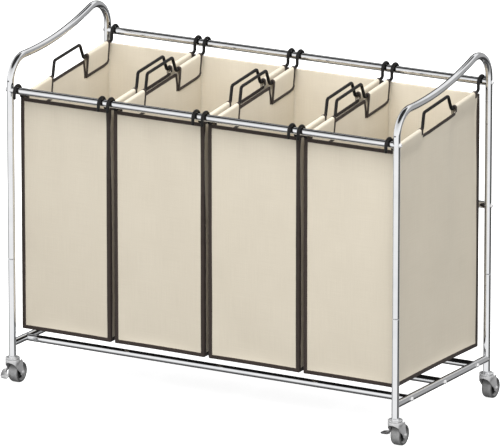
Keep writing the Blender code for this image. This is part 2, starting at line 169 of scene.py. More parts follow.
def cloud(tree, where, scale, detail=3.0, stretch=None):
    """Noise from 0 to 1, optionally over stretched coordinates."""
    if stretch:
        where = node(tree, "Mapping", Vector=where, Scale=stretch).outputs[0]
    return node(tree, "TexNoise", Vector=where, Scale=scale, Detail=detail).outputs[0]


def surface(name, roughness=0.5, metallic=0.0, **plain):
    """A new material, its node tree and its object coordinates."""
    mat = bpy.data.materials.new(name)
    mat.use_nodes = True
    tree = mat.node_tree
    for key, value in {"Roughness": roughness, "Metallic": metallic, **plain}.items():
        tree.nodes["Principled BSDF"].inputs[key.replace("_", " ")].default_value = value
    return mat, tree, node(tree, "TexCoord").outputs["Object"]


def dressed(mat, colour, roughness, height, strength, distance=0.0002):
    """The material with its colour, roughness and bump linked."""
    tree = mat.node_tree
    bump = node(tree, "Bump", Height=height, Strength=strength, Distance=distance).outputs[0]
    for key, socket in (("Base Color", colour), ("Roughness", roughness), ("Normal", bump)):
        tree.links.new(socket, tree.nodes["Principled BSDF"].inputs[key])
    return mat


def chrome():
    """Bright plating with faint smudges and a trace of orange peel."""
    mat, tree, where = surface("chrome_plate", 0.04, 1.0)
    smudge = cloud(tree, where, 26.0, 4.0)
    fine = cloud(tree, where, 700.0, 2.0, (1, 1, 0.15))
    tone = mixed(tree, ramp(tree, smudge, 0.3, 0.7, 0.0, 1.0), (0.83, 0.84, 0.86), (0.90, 0.905, 0.915))
    gloss = plus(tree, ramp(tree, smudge, 0.35, 0.8, 0.02, 0.06), ramp(tree, fine, 0.5, 0.8, 0.0, 0.03))
    return dressed(mat, tone, gloss, cloud(tree, where, 120.0, 1.0), 0.05, 0.0001)


def zinc(name, dark, light, rough, metallic=1.0):
    """Zinc-plated or galvanised steel: cloudy grey, a little grainy, duller in patches."""
    mat, tree, where = surface(name, rough, metallic)
    patch = cloud(tree, where, 90.0, 5.0)
    tone = mixed(tree, ramp(tree, patch, 0.3, 0.7, 0, 1), dark, light)
    gloss = ramp(tree, patch, 0.3, 0.75, rough - 0.08, rough + 0.1)
    return dressed(mat, tone, gloss, cloud(tree, where, 2400.0, 2.0), 0.12)


def scuffs(tree, where):
    return ramp(tree, cloud(tree, where, 210.0, 6.0), 0.48, 0.72, 0.0, 1.0)


def moulded(name, dark, light, rough):
    """Moulded plastic with fine grain and pale scuffs."""
    mat, tree, where = surface(name, rough)
    scuff = scuffs(tree, where)
    gloss = ramp(tree, scuff, 0, 1, rough - 0.06, rough + 0.15)
    return dressed(mat, mixed(tree, scuff, dark, light), gloss, cloud(tree, where, 1800.0, 3.0), 0.22)


def tyre():
    """Grey rubber: a lighter worn tread between darker sides, with fine grain and scuffs."""
    mat, tree, where = surface("grey_tyre", 0.55)
    across = calc(tree, "ABSOLUTE", axes(tree, where)[0])
    scuff = scuffs(tree, where)
    worn = ramp(tree, across, WHEEL_HALF_WIDTH - 0.0016, WHEEL_HALF_WIDTH - 0.0004, 1.0, 0.0)
    tone = mixed(tree, blend(tree, worn, 0.75, scuff), (0.095, 0.095, 0.095), (0.40, 0.40, 0.40))
    return dressed(mat, tone, ramp(tree, scuff, 0, 1, 0.5, 0.7), cloud(tree, where, 1800.0, 3.0), 0.22)


def dipped_wire():
    """Black plastic dip: soft gloss over a slightly pebbled coat."""
    mat, tree, where = surface("black_wire_coat", 0.38, Specular_IOR_Level=0.25)
    pebble = cloud(tree, where, 520.0, 3.0)
    patch = ramp(tree, cloud(tree, where, 60.0), 0.35, 0.7, 0, 1)
    tone = mixed(tree, patch, (0.006, 0.006, 0.006), (0.014, 0.013, 0.013))
    return dressed(mat, tone, ramp(tree, pebble, 0.3, 0.7, 0.30, 0.48), pebble, 0.3)


def weave(tree, pitch):
    """(height, tone) of a plain weave over the mesh's cloth coordinates in metres."""
    uv = node(tree, "UVMap", {"uv_map": "cloth"}).outputs[0]
    across = axes(tree, uv)
    waves = [calc(tree, "SINE", times(tree, across[axis], math.pi / pitch)) for axis in (0, 1)]
    over = calc(tree, "GREATER_THAN", times(tree, *waves), 0.0)

    def woven(warp, weft):
        return plus(tree, times(tree, over, warp), times(tree, without(tree, over), weft))

    warp, weft = (calc(tree, "ABSOLUTE", wave) for wave in waves)
    slubs = [cloud(tree, uv, 1.0, 2.0, stretch) for stretch in ((1 / pitch, 14, 1), (14, 1 / pitch, 1))]
    return woven(warp, weft), woven(*slubs)


def canvas():
    """Beige polyester canvas: plain weave, slubs and a faint cloudiness; the floor's underside painted
    near-black as shade.
    """
    mat, tree, where = surface("beige_canvas", 0.86, Sheen_Weight=0.12, Sheen_Roughness=0.5)
    height, tone = weave(tree, 0.0011)
    cloudy = blend(tree, tone, 0.75, cloud(tree, where, 9.0, 4.0))
    cloth = mixed(tree, ramp(tree, cloudy, 0.30, 0.70, 0, 1), (0.655, 0.590, 0.475), (0.735, 0.670, 0.550))
    # Painted shade: the underside of the bag's floor is coloured near-black, as if in its own shadow, so the
    # rails below mirror a dark band.
    down = ramp(tree, axes(tree, node(tree, "NewGeometry").outputs["Normal"])[2], -0.7, -0.4, 1, 0)
    low = ramp(tree, axes(tree, where)[2], BAG_FLOOR_Z + 0.002, BAG_FLOOR_Z + 0.006, 1, 0)
    painted_underside_shade = mixed(tree, times(tree, down, low), cloth, (0.012, 0.010, 0.009))
    return dressed(mat, painted_underside_shade, ramp(tree, tone, 0.3, 0.7, 0.80, 0.92), height, 0.30, 0.00025)


def binding():
    """Dark brown grosgrain tape: ribs across its length, and a row of stitches near its edge."""
    mat, tree, _ = surface("brown_binding", 0.8, Sheen_Weight=0.1, Sheen_Roughness=0.4)
    uv = node(tree, "UVMap", {"uv_map": "cloth"}).outputs[0]
    along, across, _ = axes(tree, uv)
    rib = calc(tree, "ABSOLUTE", calc(tree, "SINE", times(tree, along, math.pi / 0.0010)))
    wear = cloud(tree, uv, 1.0, 3.0, (60, 400, 1))
    dash = ramp(tree, calc(tree, "FRACT", calc(tree, "DIVIDE", along, 0.0032)), 0.70, 0.78, 1, 0)
    near = calc(tree, "ABSOLUTE", calc(tree, "SUBTRACT", across, 0.0013))
    stitch = times(tree, ramp(tree, near, 0.00018, 0.00032, 1, 0), dash)
    tone = blend(tree, rib, 0.4, wear)
    tape = mixed(tree, ramp(tree, tone, 0.25, 0.85, 0, 1), (0.020, 0.014, 0.011), (0.048, 0.034, 0.028))
    colour = mixed(tree, stitch, tape, (0.085, 0.062, 0.050))
    gloss = ramp(tree, tone, 0.2, 0.9, 0.9, 0.72)
    return dressed(mat, colour, gloss, plus(tree, rib, times(tree, stitch, 1.5)), 0.5)


# ---------------------------------------------------------------- mesh helpers

def put(name, mesh):
    """A new object in the scene."""
    obj = bpy.data.objects.new(name, mesh)
    bpy.context.scene.collection.objects.link(obj)
    return obj


def place(name, mesh, mat, body, *nodes, slot, at=None):
    """A piece of the finished object: it rides on a body and stands for CAD nodes. at is a matrix."""
    obj = put(name, mesh)
    if not mesh.materials:
        mesh.materials.append(mat)
    if at is not None:
        obj.matrix_world = at
    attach(obj, body)
    if nodes:
        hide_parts(*nodes)
    return obj


def moved(x, y, z):
    return Matrix.Translation((x, y, z))


def turned(degrees, axis):
    return Matrix.Rotation(math.radians(degrees), 4, axis)


def to_mesh(bm, sharp=40):
    """The bmesh as a smooth-shaded mesh with its faces pointing out; the bmesh is freed."""
    bmesh.ops.recalc_face_normals(bm, faces=bm.faces)
    mesh = bpy.data.meshes.new("mesh")
    bm.to_mesh(mesh)
    bm.free()
    mesh.shade_smooth()
    mesh.set_sharp_from_angle(angle=math.radians(sharp))
    return mesh


def join_rings(bm, low, high):
    """Quads between two closed rings of vertices, or a fan where one is a single vertex."""
    count = max(len(low), len(high))
    for i in range(count):
        j = (i + 1) % count
        corners = [low[i % len(low)], low[j % len(low)], high[j % len(high)], high[i % len(high)]]
        unique = list(dict.fromkeys(corners))
        if len(unique) > 2:
            bm.faces.new(unique)


def join_all(bm, rings, closed=False):
    for low, high in zip(rings, rings[1:] + rings[:1] if closed else rings[1:]):
        join_rings(bm, low, high)


def around(count):
    """Evenly spaced angles of one turn."""
    return [2 * math.pi * k / count for k in range(count)]


def lathe(profile, segments=48, closed=False):
    """Turned about Z from (radius, height) points. closed joins the last point to the first."""
    bm = bmesh.new()
    rings = []
    for r, z in profile:
        turns = around(segments) if r > 1e-7 else [0]
        rings.append([bm.verts.new((r * math.cos(a), r * math.sin(a), z)) for a in turns])
    join_all(bm, rings, closed)
    return bm


def sweep(points, radius, sides=24):
    """A round bar along points; radius is one number, or one for each point."""
    points = [Vector(p) for p in points]
    last = len(points) - 1
    radii = radius if hasattr(radius, "__len__") else [radius] * len(points)
    bm = bmesh.new()
    rings, across, before = [], None, None
    for i, (point, r) in enumerate(zip(points, radii)):
        along = (points[min(i + 1, last)] - points[max(i - 1, 0)]).normalized()
        across = before.rotation_difference(along) @ across if before else along.orthogonal().normalized()
        before = along
        other = along.cross(across)
        rings.append([bm.verts.new(point + r * (math.cos(a) * across + math.sin(a) * other))
                      for a in around(sides)])
    join_all(bm, rings)
    for ring in (rings[0], rings[-1]):
        bm.faces.new(ring)
    return bm


def arc(centre, radius, start, end, steps):
    """Points on an arc, in degrees counted from the first axis towards the second."""
    angles = [math.radians(start + (end - start) * i / steps) for i in range(steps + 1)]
    return [(centre[0] + radius * math.cos(a), centre[1] + radius * math.sin(a)) for a in angles]


def rounded(points, radius, steps=8):
    """A polyline with each inner corner replaced by an arc."""
    route = [Vector(points[0])]
    for before, corner, after in zip(points, points[1:], points[2:]):
        corner = Vector(corner)
        back, ahead = (Vector(before) - corner).normalized(), (Vector(after) - corner).normalized()
        half = back.angle(ahead) / 2
        start = corner + back * (radius / math.tan(half))
        centre = corner + (back + ahead).normalized() * (radius / math.sin(half))
        spoke = start - centre
        turn = (math.pi - 2 * half) * (1 if back.cross(ahead) < 0 else -1)
        route += [centre + Matrix.Rotation(turn * i / steps, 2) @ spoke for i in range(steps + 1)]
    return route + [Vector(points[-1])]


def both_ways(half, segments, closed=False):
    """A profile of (radius, x) and its mirror image, turned about X."""
    bm = lathe(half + [(r, -x) for r, x in reversed(half)], segments, closed)
    bmesh.ops.transform(bm, matrix=Matrix.Rotation(math.pi / 2, 4, "Y"), verts=bm.verts)
    return bm


def box(bm, at, size, bevel, segments=1):
    """A box with bevelled edges, in the frame of the matrix at."""
    made = bmesh.ops.create_cube(bm, size=1.0, matrix=at @ Matrix.Diagonal((*size, 1)))
    edges = list({e for v in made["verts"] for e in v.link_edges})
    bmesh.ops.bevel(bm, geom=edges, offset=bevel, segments=segments, affect="EDGES")


def smooth_step(t):
    t = min(1.0, max(0.0, t))
    return t * t * (3 - 2 * t)


def spaced(start, end, pitch):
    """Evenly spaced values from start to end, at most pitch apart, without the end itself."""
    count = max(1, math.ceil((end - start) / pitch - 1e-6))
    return [start + (end - start) * i / count for i in range(count)]


# ---------------------------------------------------------------- tube frame

def side_frame_path():
    """Centre line as (y, z): up the front post, along the handle and down the rear post."""
    bend_centre = (FRONT_Y + BEND_FRONT_R, BEND_FRONT_TOP_Z - BEND_FRONT_R)
    rise = math.degrees(math.asin((SWEEP_END - BEND_FRONT_R) / SWEEP_R))
    handle = arc((bend_centre[0], BEND_FRONT_TOP_Z + SWEEP_R), SWEEP_R, -90, rise - 90, 22)
    end_y, end_z = handle[-1]
    rear_r = (REAR_Y - end_y) / (1 + math.sin(math.radians(rise)))
    rear_centre = (REAR_Y - rear_r, end_z - rear_r * math.cos(math.radians(rise)))
    bend = arc(bend_centre, BEND_FRONT_R, 180, 90, 18)
    rear = arc(rear_centre, rear_r, 90 + rise, 0, 28)
    foot = [JOINT_Z + GAP + step for step in (0, 0.0002, 0.0006, 0.0014, 0.0022, 0.004, 0.05, 0.15, 0.27)]
    return [(FRONT_Y, z) for z in foot] + bend + handle[1:] + rear[1:] + [(REAR_Y, z) for z in reversed(foot)]


def side_frame(x):
    """Bent handle tube whose rolled feet leave a fine groove over the lower posts."""
    path = side_frame_path()
    radii = [TUBE_R] * len(path)
    for i, rolled in enumerate((0.0068, 0.0074, 0.0078)):
        radii[i] = radii[-1 - i] = rolled
    return to_mesh(sweep([(x, y, z) for y, z in path], radii, 32))


def lower_post():
    """Lower post with a rounded foot, and the spigot that stands in the handle tube."""
    top, foot = JOINT_Z, POST_FOOT_Z
    straight = [top - down for down in (0.0010, 0.0018, 0.0035, 0.06)]
    straight += [foot + up for up in (0.04, 0.0040, 0.0022, 0.0012)]
    return to_mesh(lathe([(0, top + 0.025), (0.0058, top + 0.025), (0.0066, top + 0.0242), (0.0066, top),
                          (0.0074, top - 0.0001), (0.0078, top - 0.0004), *((TUBE_R, z) for z in straight),
                          (0.0077, foot + 0.0003), (0.0070, foot), (0, foot)], 32))


def coped_tube(stations, at, beside):
    """A straight tube whose ends are hollowed to fit the tubes they meet.

    stations are places along it, at(along, across, up) is a point of it, and beside(across, up) says
    how far a point of an end lies from the axis of the tube it meets."""
    reach = TUBE_R + GAP
    bm = bmesh.new()
    rings = []
    for station in stations:
        ring = []
        for turn in around(32):
            across, up = TUBE_R * math.cos(turn), TUBE_R * math.sin(turn)
            inset = math.sqrt(reach ** 2 - beside(across, up) ** 2)
            shift = inset if station == stations[0] else -inset if station == stations[-1] else 0
            ring.append(bm.verts.new(at(station + shift, across, up)))
        rings.append(ring)
    join_all(bm, rings)
    for ring, end in ((rings[0], stations[0] + reach), (rings[-1], stations[-1] - reach)):
        join_rings(bm, ring, [bm.verts.new(at(end, 0, 0))])
    return to_mesh(bm)


def rail(y, z, upright):
    """Rail along X; upright says whether the tubes it meets stand (posts) or lie along Y (side bars)."""
    stations = [-POST_X, -POST_X + 0.02, -0.3, -0.1, 0.1, 0.3, POST_X - 0.02, POST_X]
    return coped_tube(stations, lambda x, across, up: (x, y + across, z + up),
                      lambda across, up: across if upright else up)


def cross_bar(x):
    """Side bar along Y between the lower posts."""
    stations = [FRONT_Y, FRONT_Y + 0.02, (FRONT_Y + REAR_Y) / 2, REAR_Y - 0.02, REAR_Y]
    return coped_tube(stations, lambda y, across, up: (x + across, y, BOTTOM_RAIL_Z + up),
                      lambda across, up: across)


def bolt():
    """Dome head with a hexagonal socket, head underside at z = 0, shank below."""
    bm = lathe([(0, 0.0016), (0.0013, 0.0016), (0.0014, 0.0031), (0.0026, 0.00335), (0.0036, 0.0027),
                (0.0043, 0.0018), (0.0047, 0.0008), (0.0048, 0.0002), (0.0046, 0), (0.0025, 0),
                (0.0025, -0.0315), (0, -0.0320)], 24)
    for vert in bm.verts:
        r = math.hypot(vert.co.x, vert.co.y)
        if 0.0012 < r < 0.0015:
            turn = math.atan2(vert.co.y, vert.co.x) % (math.pi / 3) - math.pi / 6
            grown = 0.0016 / math.cos(turn) * math.cos(math.pi / 6)
            vert.co.xy *= grown / r
    return to_mesh(bm, 30)


def tube_hole():
    """A small drilled hole: a rolled chrome lip round a cup painted near-black as the shade inside the tube, on
    +Z.
    """
    return to_mesh(lathe([(0, -0.0006), (0.0011, -0.0006), (0.0013, 0.0001), (0.0015, 0.00015),
                          (0.0017, 0.0), (0.0017, -0.0010), (0, -0.0010)], 20), 30)


def build_frame(plate, bolt_steel, shadow):
    def tube(name, mesh, old, at=None):
        place(name, mesh, plate, "frame", old, slot="chrome", at=at)

    def hole(name, at):
        place(name, hole_mesh, shadow, "frame", slot="chrome", at=at)

    for name, side in SIDES:
        tube(f"handle_tube_{name}", side_frame(side * POST_X), f"side_frame_{name}")
        tube(f"side_bar_{name}", cross_bar(side * POST_X), f"cross_bar_{name}")
    post = lower_post()
    for corner, side, y in CORNERS:
        tube(f"leg_tube_{corner}", post, f"lower_post_{corner}", moved(side * POST_X, y, 0))
    for name, y, z in (("front_top_rail", FRONT_Y, FRONT_RAIL_Z), ("rear_top_rail", REAR_Y, REAR_RAIL_Z),
                       ("back_rail", REAR_Y, BACK_RAIL_Z)):
        tube(f"{name}_tube", rail(y, z, True), name)
    for name in ("bottom_rail_front", "bottom_rail_middle", "bottom_rail_rear"):
        tube(f"{name}_tube", rail(middle_of(name).y, BOTTOM_RAIL_Z, False), name)
    bolt_mesh = bolt()
    for old in sorted(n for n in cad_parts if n.startswith("bolt_")):
        side = -1 if old.endswith("left") else 1
        at = moved(side * (POST_X + TUBE_R + GAP), middle_of(old).y, middle_of(old).z) @ turned(90 * side, "Y")
        place(f"cap_{old}", bolt_mesh, bolt_steel, "frame", old, slot="zinc", at=at)
    hole_mesh = tube_hole()
    for name, side in SIDES:
        for spot, y, z in (("front", FRONT_Y, FRONT_RAIL_Z + 0.020), ("rear", REAR_Y, REAR_RAIL_Z - 0.091),
                           ("rear_low", REAR_Y, JOINT_Z - 0.024)):
            hole(f"post_hole_{spot}_{name}", moved(side * POST_X, y - TUBE_R, z) @ turned(90, "X"))
    below = TUBE_R / math.sqrt(2)
    for i in range(4):
        seat = moved(RAIL_HOLE_X + RAIL_HOLE_PITCH * i, REAR_Y - below, REAR_RAIL_Z - below)
        hole(f"rail_hole_{i + 1}", seat @ turned(135, "X"))


# ---------------------------------------------------------------- casters

def caster_head():
    """Stem, collar and the grooved bearing ring over the fork."""
    foot, top = POST_FOOT_Z, CROWN_Z
    ring = CROWN_Z - 0.0042
    return to_mesh(lathe([
        (0, foot + 0.029), (0.0034, foot + 0.029), (0.0040, foot + 0.028), (0.0040, foot - GAP),
        (0.0072, foot - GAP), (0.0076, foot - 0.0007), (0.0076, top + 0.0002), (0.0140, top - 0.0002),
        (0.0154, top - 0.0006),
        (CROWN_R, top - 0.0013), (CROWN_R, top - 0.0018), (0.0153, top - 0.0021), (0.0153, top - 0.0025),
        (CROWN_R, top - 0.0028), (CROWN_R, top - 0.0035), (0.0152, ring), (0.0045, ring),
        (0.0045, ring - 0.0037), (0.0075, ring - 0.0037), (0.0065, ring - 0.0052), (0, ring - 0.0054)]), 30)


def curve_at(points, t):
    """A smooth curve through evenly spaced points, t from 0 to 1."""
    spot = min(max(t, 0.0), 1.0) * (len(points) - 1)
    k = min(int(spot), len(points) - 2)
    p = [Vector(points[min(max(k + step, 0), len(points) - 1)]) for step in (-1, 0, 1, 2)]
    u = spot - k
    return 0.5 * (2 * p[1] + (p[2] - p[0]) * u + (2 * p[0] - 5 * p[1] + 4 * p[2] - p[3]) * u ** 2
                  + (3 * p[1] - p[0] - 3 * p[2] + p[3]) * u ** 3)


def fork():
    """Pressed fork: a hood under the bearing ring, arched over the wheel in front, with two broad legs.

    Each leg is a grid between its front and rear edges, (y, z) curves about the swivel axis."""
    rim, top = CROWN_Z - 0.0108, CROWN_Z - 0.0046
    foot, foot_r = Vector((CASTER_TRAIL - 0.0005, WHEEL_R - 0.0016)), 0.0066
    front_edge = [(-0.0159, rim), (-0.0138, rim - 0.0019), (-0.0102, rim - 0.0058), (-0.0056, rim - 0.0112),
                  (0.0002, rim - 0.0174), (0.0068, rim - 0.0232), (0.0130, rim - 0.0287)]
    rear_edge = [(0.0120, rim), (0.0172, rim + 0.0030), (0.0202, rim - 0.0010), (0.0214, rim - 0.0086),
                 (0.0226, rim - 0.0166), (0.0243, rim - 0.0230), (0.0260, rim - 0.0290)]
    columns, rows, foot_rows = 16, 18, 7
    turns = [math.radians(-88 + 137 * k / columns) for k in range(columns + 1)]

    def edge(points, s, side_turn):
        """The leg's front or rear edge, round the foot at the end."""
        if s <= 1:
            return curve_at(points, s)
        a = math.radians(side_turn + (-90 - side_turn) * (s - 1))
        return foot + foot_r * Vector((math.cos(a), math.sin(a)))

    def leg_point(side, column, row):
        s = row / rows if row <= rows else 1 + (row - rows) / foot_rows
        share = column / columns
        ahead, behind = edge(front_edge, s, -188), edge(rear_edge, s, 4)
        y, z = ahead + (behind - ahead) * share
        if behind.y > ahead.y:                                     # the rear corner rises beside the hood
            z = ahead.y + (behind.y - ahead.y) * share ** (1 + 4 * (1 - smooth_step(s * 2.2)))
        y += (CROWN_R * math.sin(turns[column]) - (-0.0159 + 0.0279 * share)) * (1 - smooth_step(s * 2.2))
        round_x = math.sqrt(max(CROWN_R ** 2 - y ** 2, 0.0))
        flat_x = LEG_MIDDLE + 0.0007 * math.sin(math.pi * share)
        if y >= -0.0088:                                           # from round under the ring to a flat leg
            round_x = flat_x + (round_x - flat_x) * (1 - smooth_step(s * 2.4)) * (y < 0.0115)
        return side * round_x, y, z

    bm = bmesh.new()
    behind = [math.radians(49 + 82 * k / 12) for k in range(1, 12)]
    whole = turns + behind + [math.pi - a for a in reversed(turns)]
    hood = [(0.0048, top), (0.0143, top), (0.0155, top - 0.0004), (CROWN_R, top - 0.0014), (CROWN_R, rim)]
    rings = [[bm.verts.new((r * math.cos(a), r * math.sin(a), z)) for a in whole] for r, z in hood]
    join_all(bm, rings)
    for side in (1, -1):
        previous = rings[-1][::side][:columns + 1]
        for row in range(1, rows + foot_rows + 1):
            line = [bm.verts.new(leg_point(side, column, row)) for column in range(columns + 1)]
            for k in range(columns):
                bm.faces.new((previous[k], previous[k + 1], line[k + 1], line[k]))
            previous = line
    bmesh.ops.remove_doubles(bm, verts=bm.verts, dist=2e-5)
    return to_mesh(bm, 60)


def axle():
    """Axle rivet with domed heads and a nut-like collar outside each leg."""
    head = 0.0145
    half = [(0, head + 0.0022), (0.0016, head + 0.0021), (0.0029, head + 0.0016), (0.0036, head + 0.0006),
            (0.0044, head + 0.0005), (0.0046, head + 0.0002), (0.0046, head - 0.0004),
            (0.0030, head - 0.0004)]
    return to_mesh(both_ways(half, 32), 30)


def wheel_tread():
    """Moulded tyre: crowned tread with a fine parting line, rounded shoulders and a rim lip each side."""
    w, r = WHEEL_HALF_WIDTH, WHEEL_R
    half = [(r - 0.0072, 0.0040), (r - 0.0064, 0.0090), (r - 0.0058, w - 0.0002), (r - 0.0050, w),
            (r - 0.0030, w - 0.0001), (r - 0.0015, w - 0.0010), (r - 0.0006, w - 0.0024),
            (r - 0.0001, w - 0.0042), (r, w - 0.0065), (r, 0.0005), (r - 0.00012, 0.0001)]
    return to_mesh(both_ways(half, 72, closed=True), 45)


def wheel_core():
    """Core disc with a stepped hub; its sides sit well inside the tyre, with six ribs."""
    edge = WHEEL_R - 0.0068
    half = [(0.0033, 0.0119), (0.0060, 0.0119), (0.0068, 0.0112), (0.0072, 0.0042), (0.0084, 0.0034),
            (edge - 0.0014, 0.0034), (edge - 0.0006, 0.0042), (edge, 0.0050)]
    bm = both_ways(half, 48, closed=True)
    for k in range(6):
        box(bm, turned(60 * k, "X") @ moved(0, 0.0116, 0), (0.0098, 0.0096, 0.0012), 0.0003)
    return to_mesh(bm, 35)


def brake_lever():
    """Pressed brake tab beside the left leg: pivot boss, short arm and dished tongue with a rolled tip."""
    bm = bmesh.new()
    x_root, x_in, x_out, y_in, y_out, corner = -0.0146, -0.0042, -0.0262, -0.0020, -0.0262, 0.0078
    outline = [(x_root, y_in), (x_root, -0.0050), (-0.0132, -0.0080), (-0.0120, -0.0116), (-0.0098, -0.0140),
               (-0.0058, -0.0152), (x_in, y_out + corner)]
    outline += arc((x_in - corner, y_out + corner), corner, 0, -90, 8)[1:]
    outline += arc((x_out + corner, y_out + corner), corner, -90, -180, 8)
    outline += [(x_out, -0.0100), (x_out + 0.0010, -0.0060), (x_out + 0.0036, -0.0032),
                (x_out + 0.0070, y_in)]
    middle = Vector(((x_in + x_out) / 2, -0.0180))
    rings = []
    for shrink, lift in ((1.0, 0.0), (0.80, -0.0004), (0.5, -0.0006), (0.2, -0.0007)):
        ring = []
        for spot in map(Vector, outline):
            rolled = 0.0012 * smooth_step((-spot.y - 0.020) / 0.006)
            ring.append(bm.verts.new((*(middle + (spot - middle) * shrink), lift - rolled * shrink)))
        rings.append(ring)
    join_all(bm, rings)
    bm.faces.new(rings[-1])
    plate = to_mesh(bm, 50)
    solid = solidified(plate, 0.0013)
    bm = bmesh.new()
    bm.from_mesh(solid)
    boss = lathe([(0, 0.0012), (0.0018, 0.0011), (0.0026, 0.0006), (0.0044, 0.0005), (0.0047, 0.0),
                  (0.0047, -0.0008), (0.0024, -0.0008), (0.0024, -0.0022), (0, -0.0022)], 32)
    bmesh.ops.transform(boss, matrix=moved(-0.0153, 0, 0) @ turned(-90, "Y"), verts=boss.verts)
    merged = bpy.data.meshes.new("boss")
    boss.to_mesh(merged)
    bm.from_mesh(merged)
    box(bm, moved(-0.0153, -0.0060, 0), (0.0013, 0.0120, 0.0040), 0.0005, 2)
    return to_mesh(bm, 35)


def solidified(mesh, thickness, offset=0.0):
    """The mesh after a Solidify with a fine bevel on its rim."""
    obj = put("working", mesh)
    thick = obj.modifiers.new("thick", "SOLIDIFY")
    thick.thickness = thickness
    thick.offset = offset
    thick.use_even_offset = True
    edge = obj.modifiers.new("edge", "BEVEL")
    edge.width = thickness * 0.28
    edge.segments = 2
    edge.angle_limit = math.radians(50)
    bpy.context.view_layer.update()
    made = bpy.data.meshes.new_from_object(obj.evaluated_get(bpy.context.evaluated_depsgraph_get()))
    bpy.data.objects.remove(obj, do_unlink=True)
    made.shade_smooth()
    made.set_sharp_from_angle(angle=math.radians(40))
    return made


def build_casters(ring_steel, fork_steel, tab_steel, rubber, core):
    def metal(part, mesh, mat, body, old, at):
        place(f"{part}_{corner}", mesh, mat, body, f"{old}_{corner}", slot="zinc", at=at)

    head_mesh, fork_mesh, axle_mesh = caster_head(), solidified(fork(), 0.0016, -1.0), axle()
    tread_mesh, core_mesh, lever_mesh = wheel_tread(), wheel_core(), brake_lever()
    for corner, side, y in CORNERS:
        caster, wheel = f"caster_{corner}", f"wheel_{corner}"
        swivel = moved(side * POST_X, y, 0)
        hub = swivel @ moved(0, CASTER_TRAIL, WHEEL_R)
        metal("caster_head", head_mesh, ring_steel, "frame", "caster_stem", swivel)
        metal("caster_fork", fork_mesh, fork_steel, caster, "fork", swivel)
        metal("caster_axle", axle_mesh, fork_steel, caster, "axle", hub)
        place(f"wheel_tread_{corner}", tread_mesh, rubber, wheel, wheel, slot="wheel_rubber", at=hub)
        place(f"wheel_core_{corner}", core_mesh, core, wheel, slot="wheel_rubber", at=hub)
        if y == FRONT_Y:
            seat = swivel @ moved(0, *LEVER_PIVOT) @ turned(LEVER_PRESSED if side < 0 else 0, "X")
            metal("brake_tab", lever_mesh, tab_steel, f"brake_{corner}", "brake_lever", seat)


# ---------------------------------------------------------------- hanger wires

def wire_height(y):
    """Height of the straight part of a wire's axis, y behind the front post axis."""
    return WIRE_START_Z + WIRE_SLOPE * (y - WIRE_START_Y)


def wire_path():
    """Centre line as (y, z), y behind the front post axis: a hook over each rail and a raised grip."""
    depth = REAR_Y - FRONT_Y
    lift = TUBE_R + WIRE_R + GAP - HOOK_R
    front, rear = (0, FRONT_RAIL_Z + lift), (depth, REAR_RAIL_Z + lift)
    along = Vector((1, WIRE_SLOPE)).normalized()
    up = Vector((-along.y, along.x))
    middle = Vector((GRIP_CENTRE, wire_height(GRIP_CENTRE)))
    grip = [middle - along * GRIP_HALF_BASE, middle - along * GRIP_HALF_TOP + up * GRIP_HEIGHT,
            middle + along * GRIP_HALF_TOP + up * GRIP_HEIGHT, middle + along * GRIP_HALF_BASE]
    inner_front, inner_rear = HOOK_R, depth - HOOK_R
    run = [(inner_front, front[1]), (inner_front, wire_height(inner_front)), *grip,
           (inner_rear, wire_height(inner_rear)), (inner_rear, rear[1])]
    path = [(-HOOK_R, FRONT_RAIL_Z - HOOK_FRONT_DROP)] + arc(front, HOOK_R, 180, 0, 20)[:-1]
    path += rounded(run, 0.0065)[:-1] + arc(rear, HOOK_R, 180, 0, 20)
    return path + [(depth + HOOK_R, REAR_RAIL_Z - HOOK_REAR_DROP)]


def wire():
    """Coated wire with domed tips, about x = 0."""
    path = [Vector((0, y, z)) for y, z in wire_path()]
    domes = [(0.0, 0.15), (0.0004, 0.55), (0.0011, 0.86), (0.0022, 1.0)]
    first, last = (path[1] - path[0]).normalized(), (path[-2] - path[-1]).normalized()
    start = [path[0] + first * step for step, _ in domes]
    end = [path[-1] + last * step for step, _ in reversed(domes)]
    radii = [WIRE_R * share for _, share in domes]
    return to_mesh(sweep(start + path[1:-1] + end, radii + [WIRE_R] * (len(path) - 2) + radii[::-1], 16), 60)


# ---------------------------------------------------------------- bags

class Cloth:
    """Points of one bag's cloth, welded by place, and its panels as grids of point numbers."""

    def __init__(self):
        self.points, self.seen, self.panels, self.uvs = [], {}, {}, {}

    def number(self, point):
        key = tuple(round(c, 5) for c in point)
        if key not in self.seen:
            self.seen[key] = len(self.points)
            self.points.append(Vector(point))
        return self.seen[key]

    def panel(self, name, rows, uvs):
        self.panels[name] = [[self.number(p) for p in row] for row in rows]
        self.uvs[name] = uvs


def pull_in(y, z):
    """How far a side wall is drawn in under its wire, from 0 to 1: fully at the flaps' lower seam."""
    seam = wire_height(y) - FLAP_DEPTH
    beside = min(smooth_step((y - BAG_FRONT) / 0.010), smooth_step((BAG_BACK - y) / 0.010))
    centre = 1 - 0.7 * smooth_step((y - FOLDS[0][1]) / 0.03) * smooth_step((FOLDS[1][0] - y) / 0.03)
    above = 0.5 + 0.5 * math.cos(math.pi * min(1.0, max(0.0, (z - seam) / FLAP_DEPTH)))
    below = math.exp(-((z - seam) / 0.10) ** 2)
    return beside * centre * (above if z > seam else below)


